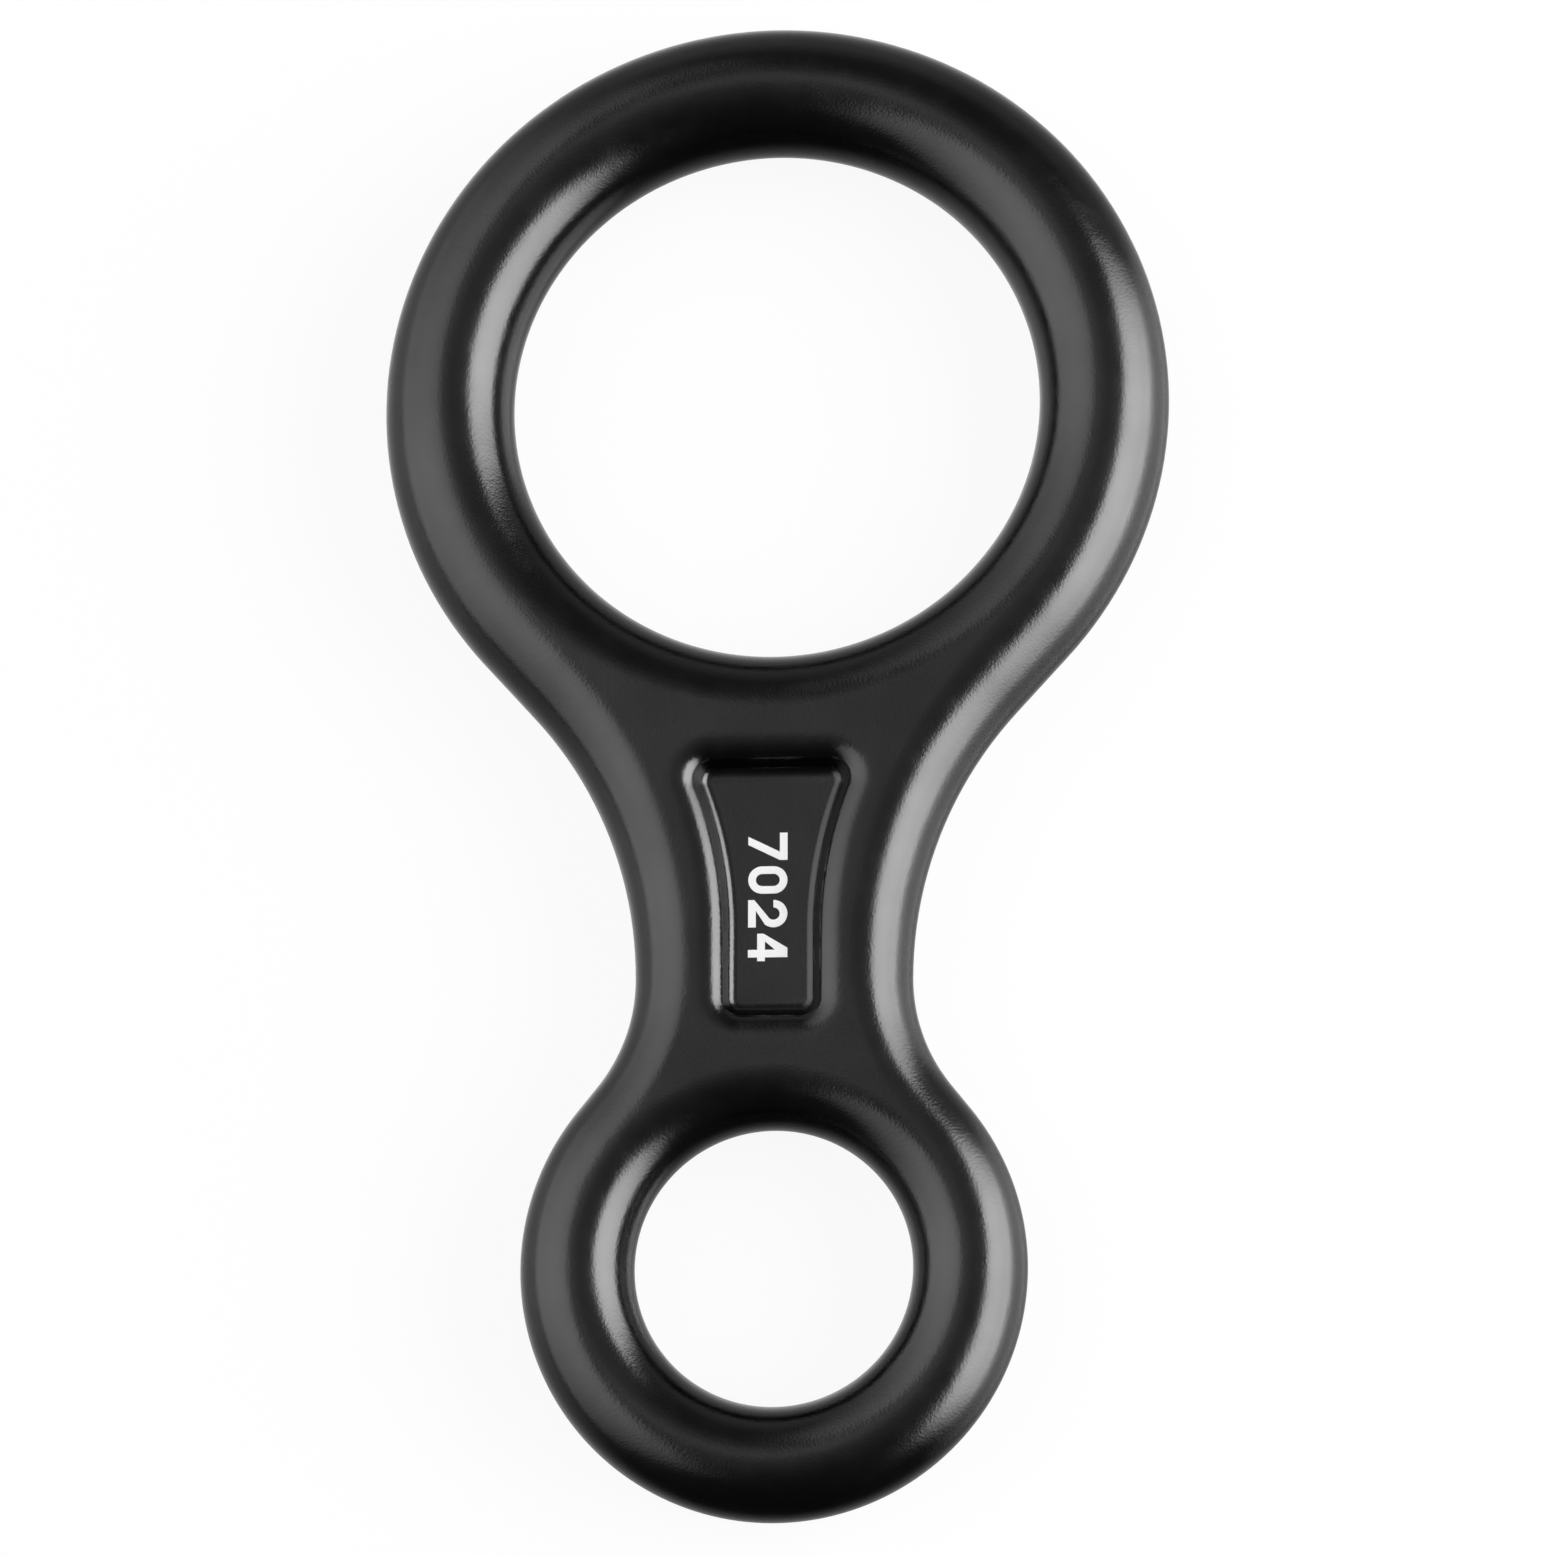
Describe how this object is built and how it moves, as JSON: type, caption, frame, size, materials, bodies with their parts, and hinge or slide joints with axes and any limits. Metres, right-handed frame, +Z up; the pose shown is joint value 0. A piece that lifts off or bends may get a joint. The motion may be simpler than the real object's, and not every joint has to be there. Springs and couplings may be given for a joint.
{
  "type": "figure eight descender",
  "caption": "Forged figure eight descender: a large rope ring and a small carabiner ring of round bar, joined by a waisted web with a recessed, numbered panel.",
  "frame": {"origin": "centre of the outline, on the surface that the descender lies on", "axes": "+X across the rings, +Y from the carabiner ring to the rope ring, +Z up out of the numbered face"},
  "size_m": [0.078, 0.15, 0.0128],
  "materials": {
    "black_anodised": "black anodised, satin gloss",
    "white_ink": "matte pad-printed ink"
  },
  "bodies": {
    "root": {"descender_body": "black_anodised", "printed_digit_1": "white_ink", "printed_digit_2": "white_ink", "printed_digit_3": "white_ink", "printed_digit_4": "white_ink"}
  },
  "joints": []
}
